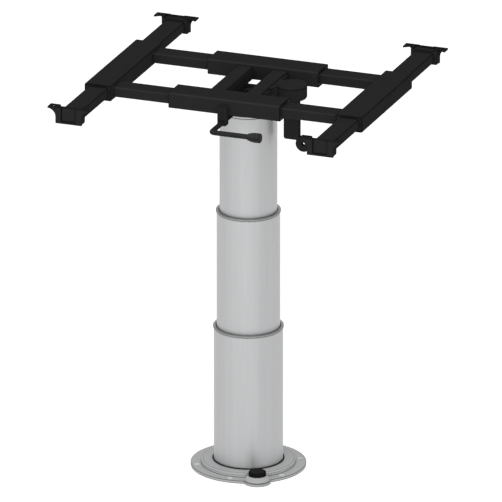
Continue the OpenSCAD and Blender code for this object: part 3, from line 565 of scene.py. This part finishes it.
for name, node, side in (("inner_rail_tube_front", "front_inner_rail", -1),
                         ("inner_rail_tube_rear", "rear_inner_rail", 1)):
    rail = box_tube(name, (-inner_reach, side * rail_y - inner_half, inner_foot),
                    (inner_reach, side * rail_y + inner_half, inner_top), along_x, inner_wall, inner_corner)
    fit(ease(rail, 0.3), "carriage", "black_frame", black_paint_lit_edges, node)
for name, node, side in (("end_tube_left", "left_beam", -1), ("end_tube_right", "right_beam", 1)):
    beam = box_tube(name, (side * beam_x - rail_half, -beam_reach, frame_z),
                    (side * beam_x + rail_half, beam_reach, rail_top), along_y, wall, rail_corner)
    fit(ease(beam, 0.4), "carriage", "black_frame", black_paint_shaded_edges, node)

# Lengthwise slides
# A narrower box tube runs through each end beam, with a cast bracket on each end that one screw holds
# from below.
slide_reach, slide_screw_y = 260, 252.5

for name, node, body, side in (("slide_tube_left", "left_slide", "left_slide_set", -1),
                               ("slide_tube_right", "right_slide", "right_slide_set", 1)):
    slide = box_tube(name, (side * beam_x - inner_half, -slide_reach, inner_foot),
                     (side * beam_x + inner_half, slide_reach, inner_top), along_y, inner_wall, inner_corner)
    cut_with(slide, *(round_tool(small_hole_r, inner_foot - 4.5, inner_foot + 3.5, (side * beam_x, y), 32)
                      for y in (-slide_screw_y, slide_screw_y)))
    fit(ease(slide, 0.3), body, "black_frame", black_paint_shaded_edges, node)

# Corner brackets
# Four black aluminium castings on the ends of the slides: a web with a recess and two ears with a hole
# each for the table top's screws, a socket round the slide with a tongue inside, and a screw from below.
table_z, ear_foot, bracket_foot, bracket_front = 710, 707, 681, -264
web_half, web_corner = 24, 3
recess_left, recess_right, recess_foot = -13.5, 12.5, 685
socket_end, socket_edge, socket_shoulder = -247, 4, 20
ear_reach, ear_bow, ear_depth, ear_hole_x, ear_hole_y, ear_hole_r = 38.5, 14.4, 13, 31.25, -255.5, 2.75
slit, tongue_half, tongue_foot, tongue_top = 0.1, 15.8, 686.7, 700.8
bracket_head_r, bracket_head_top, bracket_hole_top = 4.1, 683.5, 693.75

black_casting = finish_for("black_casting", (0.027, 0.0273, 0.0277), (0.033, 0.0333, 0.0337), 14, 1.4, 0.06,
                           (0.5, 0.62), gloss=0.0005)


def slice_at(place, normal):
    """A cut through the whole piece that adds edges and removes nothing."""
    bpy.ops.mesh.select_all(action="SELECT")
    bpy.ops.mesh.bisect(plane_co=Vector(place) * mm, plane_no=normal)


def merge_doubles():
    """Joins the points that lie on one another and turns every face outwards."""
    bpy.ops.mesh.select_all(action="SELECT")
    bpy.ops.mesh.remove_doubles(threshold=0.01 * mm)
    bpy.ops.mesh.normals_make_consistent(inside=False)


def at_web_side(c, w):
    return abs(w.y) > 0.9 and abs(abs(c.x) - web_half) < 0.1


bracket = block_blank("bracket", (-web_half, bracket_front, bracket_foot), (web_half, -slide_reach, table_z))
slice_at((0, 0, ear_foot), (0, 0, 1))
for side in (-1, 1):
    pick(lambda c, n: n.x * side > 0.9 and c.z > ear_foot)
    pull(x=(ear_reach - web_half) * side)
    slice_at(((web_half - 0.4) * side, 0, 0), (1, 0, 0))
bevel_edges(ear_bow, 8, lambda c, w: at_web_side(c, w) and abs(c.z - ear_foot) < 0.1)
pick(lambda c, n: n.y > 0.9 and c.z > ear_foot and abs(c.x) > web_half - 0.4)
pull(y=ear_depth)
bevel_edges(web_corner, 5, lambda c, w: at_web_side(c, w) and c.z < bracket_foot + 1)
merge_doubles()
ease(closed(bracket), 0.4)
socket = block_blank("socket", (-web_half, bracket_front + 2, bracket_foot), (web_half, socket_end, ear_foot))
for x in (-socket_shoulder, socket_shoulder):
    slice_at((x, 0, 0), (1, 0, 0))
pick(lambda c, n: n.z > 0.9 and abs(c.x) > socket_shoulder)
pull(z=table_z - ear_foot)
bevel_edges(socket_edge, 6, lambda c, w: abs(w.x) > 0.9 and c.y > socket_end - 1 and c.z < bracket_foot + 1)
closed(socket)
sides = block_blank("sides", (-web_half, bracket_front - 6, bracket_foot),
                    (web_half, socket_end + 7, table_z + 10))
bevel_edges(web_corner, 5, lambda c, w: abs(w.y) > 0.9 and c.z < bracket_foot + 1)
closed(sides)
cut_with(socket, sides, way="INTERSECT")
mouth = block_blank("mouth", (-inner_half - slit, -slide_reach, inner_foot - slit),
                    (inner_half + slit, socket_end + 7, inner_top + slit))
bevel_edges(inner_corner + slit, 5, lambda c, w: abs(w.y) > 0.9)
closed(mouth)
ease(cut_with(socket, mouth), 0.4)
tongue = block_tool((-tongue_half, bracket_front + 2, tongue_foot), (tongue_half, socket_end + 2, tongue_top))
cut_with(bracket, socket, tongue, way="UNION")
cut_with(bracket, block_tool((recess_left, bracket_front - 2, recess_foot),
                             (recess_right, bracket_front + 2, table_z + 2)),
         *(round_tool(ear_hole_r, ear_foot - 1, table_z + 1, (x, ear_hole_y), 40)
           for x in (-ear_hole_x, ear_hole_x)),
         round_tool(bracket_head_r, bracket_foot - 1, bracket_head_top, (0, -slide_screw_y), 40),
         round_tool(small_hole_r, bracket_head_top - 0.5, bracket_hole_top, (0, -slide_screw_y), 32))
for name, node, body, x, facing in (
        ("bracket_left_front", "left_front_bracket", "left_slide_set", -beam_x, -1),
        ("bracket_left_rear", "left_rear_bracket", "left_slide_set", -beam_x, 1),
        ("bracket_right_front", "right_front_bracket", "right_slide_set", beam_x, -1),
        ("bracket_right_rear", "right_rear_bracket", "right_slide_set", beam_x, 1)):
    one = bracket.copy()
    one.data = bracket.data.copy()
    one.name = one.data.name = name
    bpy.context.scene.collection.objects.link(one)
    chosen(one)
    bpy.ops.object.mode_set(mode="EDIT")
    bpy.ops.mesh.select_all(action="SELECT")
    if facing > 0:
        bpy.ops.transform.resize(value=(1, -1, 1), center_override=(0, 0, 0))
        bpy.ops.mesh.flip_normals()
    bpy.ops.transform.translate(value=(x * mm, 0, 0))
    closed(one)
    fit(one, body, "black_casting", black_casting, node)
bpy.data.objects.remove(bracket)

# Slide brake
# A black casting bolted to the right cross beam: a flange with two screw lobes, a waisted arm and a
# round drum closed by a cap. The lever that hangs from the drum turns the spindle inside it.
drum_x, drum_r, drum_foot, drum_edge, lid_edge = 80.5, 26, 681.5, 5, 2.8
drum_place = (drum_x, 0)
arm_half, arm_root, arm_bow, arm_foot, arm_top = 17, 28, 10.95, 686, 704
flange_side, flange_reach, flange_height, lobe_r, lobe_side = 53, 52, 20, 7.5, 56
bore_r, bore_top = 10.1, 698
neck_r, pin_r, neck_foot, neck_top, pin_top = 14.2, 10, 667.3, 681.3, 697.8
lever_half, lever_thick_half, lever_foot, lever_corner = 14.25, 4, 607.3, 4
eye_x, eye_z, eye_r, eye_hole_r = 102.25, 601.3, 14, 3
eye_place = (eye_x, 0, eye_z)

housing = block_blank("brake_body", (cross_side, -arm_root, arm_foot), (flange_side, arm_root, arm_top))
for y in (-arm_half, arm_half):
    slice_at((0, y, 0), (0, 1, 0))
pick(lambda c, n: n.x > 0.9 and abs(c.y) < arm_half)
pull(x=drum_x - flange_side)
bevel_edges(arm_bow, 8, lambda c, w: (abs(w.z) > 0.9 and abs(abs(c.y) - arm_half) < 0.1
                                      and abs(c.x - flange_side) < 0.1))
closed(housing)
drum = round_blank("drum", drum_r, drum_foot, arm_top, drum_place, 128)
bevel_edges(drum_edge, 6, lambda c, w: abs(c.z - drum_foot) < 0.1)
closed(drum)
plate = block_tool((cross_side, -flange_reach, drum_foot),
                   (flange_side, flange_reach, drum_foot + flange_height))
lobes = [round_tool(lobe_r, cross_side, lobe_side, (0, y, brake_screw_z), 64, to_right) for y in brake_screws]
cut_with(housing, plate, drum, *lobes, way="UNION")
cut_with(housing, round_tool(bore_r, drum_foot - 0.5, bore_top, drum_place, 64),
         *(round_tool(brake_hole_r, cross_side - 1.5, lobe_side + 1, (0, y, brake_screw_z), 32, to_right)
           for y in brake_screws))
ease(housing, 0.6)
fit(housing, "top_frame", "black_casting", black_casting, "brake_housing")

cap = round_blank("brake_lid", drum_r, arm_top, rail_top, drum_place, 128)
bevel_edges(lid_edge, 6, lambda c, w: abs(c.z - rail_top) < 0.1)
closed(cap)
fit(ease(cap, 0.5, over=60), "top_frame", "black_casting", black_casting, "brake_cap")

spindle = round_blank("brake_neck", neck_r, neck_foot, neck_top, drum_place, 96)
pick(top_face)
inset(neck_r - pin_r)
pull(z=pin_top - neck_top)
closed(spindle)
fit(ease(spindle, 0.5), "brake", "black_frame", black_paint, "brake_spindle")

lever = block_blank("lever_bar", (drum_x - lever_half, -lever_thick_half, lever_foot),
                    (drum_x + lever_half, lever_thick_half, neck_foot))
bevel_edges(lever_corner, 5, lambda c, w: abs(w.y) > 0.9 and c.z < lever_foot + 1)
closed(lever)
web = block_blank("web", (drum_x, -lever_thick_half, eye_z - eye_r),
                  (eye_x + 10, lever_thick_half, lever_foot + 30))
corners = [(drum_x, lever_foot + 30), (drum_x + lever_half, lever_foot + 15), (eye_x + 9.9, eye_z + 9.9),
           (eye_x, eye_z - eye_r), (drum_x, eye_z + 10)]
for (ax, az), (bx, bz) in zip(corners, corners[1:]):
    bpy.ops.mesh.select_all(action="SELECT")
    outward = Vector((bz - az, 0, ax - bx)).normalized()
    bpy.ops.mesh.bisect(plane_co=Vector((ax, 0, az)) * mm, plane_no=-outward, use_fill=True,
                        clear_outer=False, clear_inner=True)
closed(web)
eye = round_tool(eye_r, -lever_thick_half, lever_thick_half, eye_place, 64, to_front)
cut_with(lever, web, eye, way="UNION")
cut_with(lever, round_tool(eye_hole_r, -8, 8, eye_place, 40, to_front))
fit(ease(lever, 0.7), "brake", "black_frame", black_paint, "brake_lever")

# Release handle
# A bent steel rod runs through a small bracket on the front rail into the hub, and ends in a flared
# plastic knob.
hinge_half, hinge_front, hinge_foot, hinge_top, hinge_corner = 8.5, -129, 663, 698, 3
boss_out_r, boss_end, handle_sink_r = 5.5, 131.5, 4.1
rod_start, bend_r, handle_y, rod_end = -10.5, 6, -181, 83
knob_foot, knob_neck_end, knob_waist, knob_side_end = 67, 73, 79, 90
knob_neck_r, knob_waist_r, knob_r, knob_edge = 5.5, 7.5, 8.5, 1.5
sideways = (1, 0, 0)

# The handle bracket and its screws carry only a faint painted shade along their edges.
hinge_paint = frame_paint("hinge_paint", seam=0.6)

hinge = block_blank("handle_block", (-hinge_half, hinge_front, hinge_foot),
                    (hinge_half, -rail_front, hinge_top))
bevel_edges(hinge_corner, 6, lambda c, w: abs(w.y) > 0.9)
closed(hinge)
hinge_boss = round_tool(boss_out_r, rail_front + 0.1, boss_end, (0, 0, shaft_z), 64, to_front)
cut_with(hinge, hinge_boss, way="UNION")
cut_with(hinge, round_tool(shaft_hole_r, rail_front - 1.5, boss_end + 1.5, (0, 0, shaft_z), 48, to_front),
         *(flared_tool(small_hole_r, handle_sink_r, rail_front - 1.5, -hinge_front - 2, -hinge_front,
                       1 - hinge_front, (0, 0, z), 32, to_front) for z in handle_screws))
fit(ease(hinge, 0.5), "top_frame", "black_frame", hinge_paint, "handle_bracket")

bpy.ops.object.select_all(action="DESELECT")
bpy.ops.mesh.primitive_circle_add(vertices=32, radius=shaft_r * mm, fill_type="NGON",
                                  location=(0, rod_start * mm, shaft_z * mm), rotation=to_front)
rod = opened("handle_bar")
bpy.ops.mesh.select_all(action="SELECT")
pull(y=handle_y + bend_r - rod_start)
bpy.ops.mesh.spin(steps=12, angle=math.radians(-90), axis=(0, 0, 1),
                  center=(bend_r * mm, (handle_y + bend_r) * mm, shaft_z * mm))
pick(lambda c, n: abs(n.x) > 0.99 and c.x > bend_r - 0.1)
pull(x=rod_end - bend_r)
merge_doubles()
closed(rod)
fit(ease(rod, 0.5, over=60), "handle", "black_frame", black_paint_lit_edges, "release_handle_rod")

# The round edges that slant between front or back and up take a painted highlight.
black_plastic = finish_for("black_plastic", (0.026, 0.026, 0.0265), (0.032, 0.032, 0.0325), 10, 0.7, 0.02,
                           (0.4, 0.52), gloss=0.02, corner="Y", corner_tone=1.6)

knob = round_blank("handle_knob", knob_neck_r, knob_foot, knob_neck_end, (0, handle_y, shaft_z), 64, to_right)
pick(lambda c, n: n.x > 0.99)
widen(knob_waist_r / knob_neck_r, sideways)
pull(x=knob_waist - knob_neck_end)
widen(knob_r / knob_waist_r, sideways)
pull(x=knob_side_end - knob_waist)
inset(knob_edge, knob_edge)
pick(lambda c, n: n.x < -0.99)
inset(knob_neck_r - shaft_hole_r)
pull(x=rod_end - knob_foot)
closed(knob)
fit(ease(knob, 0.5, 3, 30), "handle", "black_plastic", black_plastic, "release_handle_knob")

# Pieces inside the tubes and under the frame
# Gas springs, plates, bushes, glides, nuts and screws keep the frame's own shapes and get their finish.
# The swivel post's end shows between the cross beams and is painted with them.
zinc_plate = finish_for("zinc_plate", (0.36, 0.37, 0.38), (0.46, 0.465, 0.47), 8, 0.5, 0.01, (0.3, 0.45),
                        metal=1.0)
bright_steel = finish_for("bright_steel", (0.52, 0.52, 0.53), (0.6, 0.6, 0.61), 12, 0.4, 0.005, (0.18, 0.28),
                          metal=1.0)
by_slot = {"column_aluminium": brushed_aluminium, "cast_base": cast_paint, "black_frame": black_paint,
           "black_casting": black_casting, "black_plastic": black_plastic, "black_rubber": soft_rubber,
           "bright_steel": bright_steel, "zinc_steel": zinc_plate}
own_finish = {"swivel_post": black_paint, "handle_bracket_screws": hinge_paint}
for name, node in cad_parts.items():
    for spot in node.material_slots:
        spot.material = own_finish.get(name) or by_slot[spot.material.name.split(".")[0]]
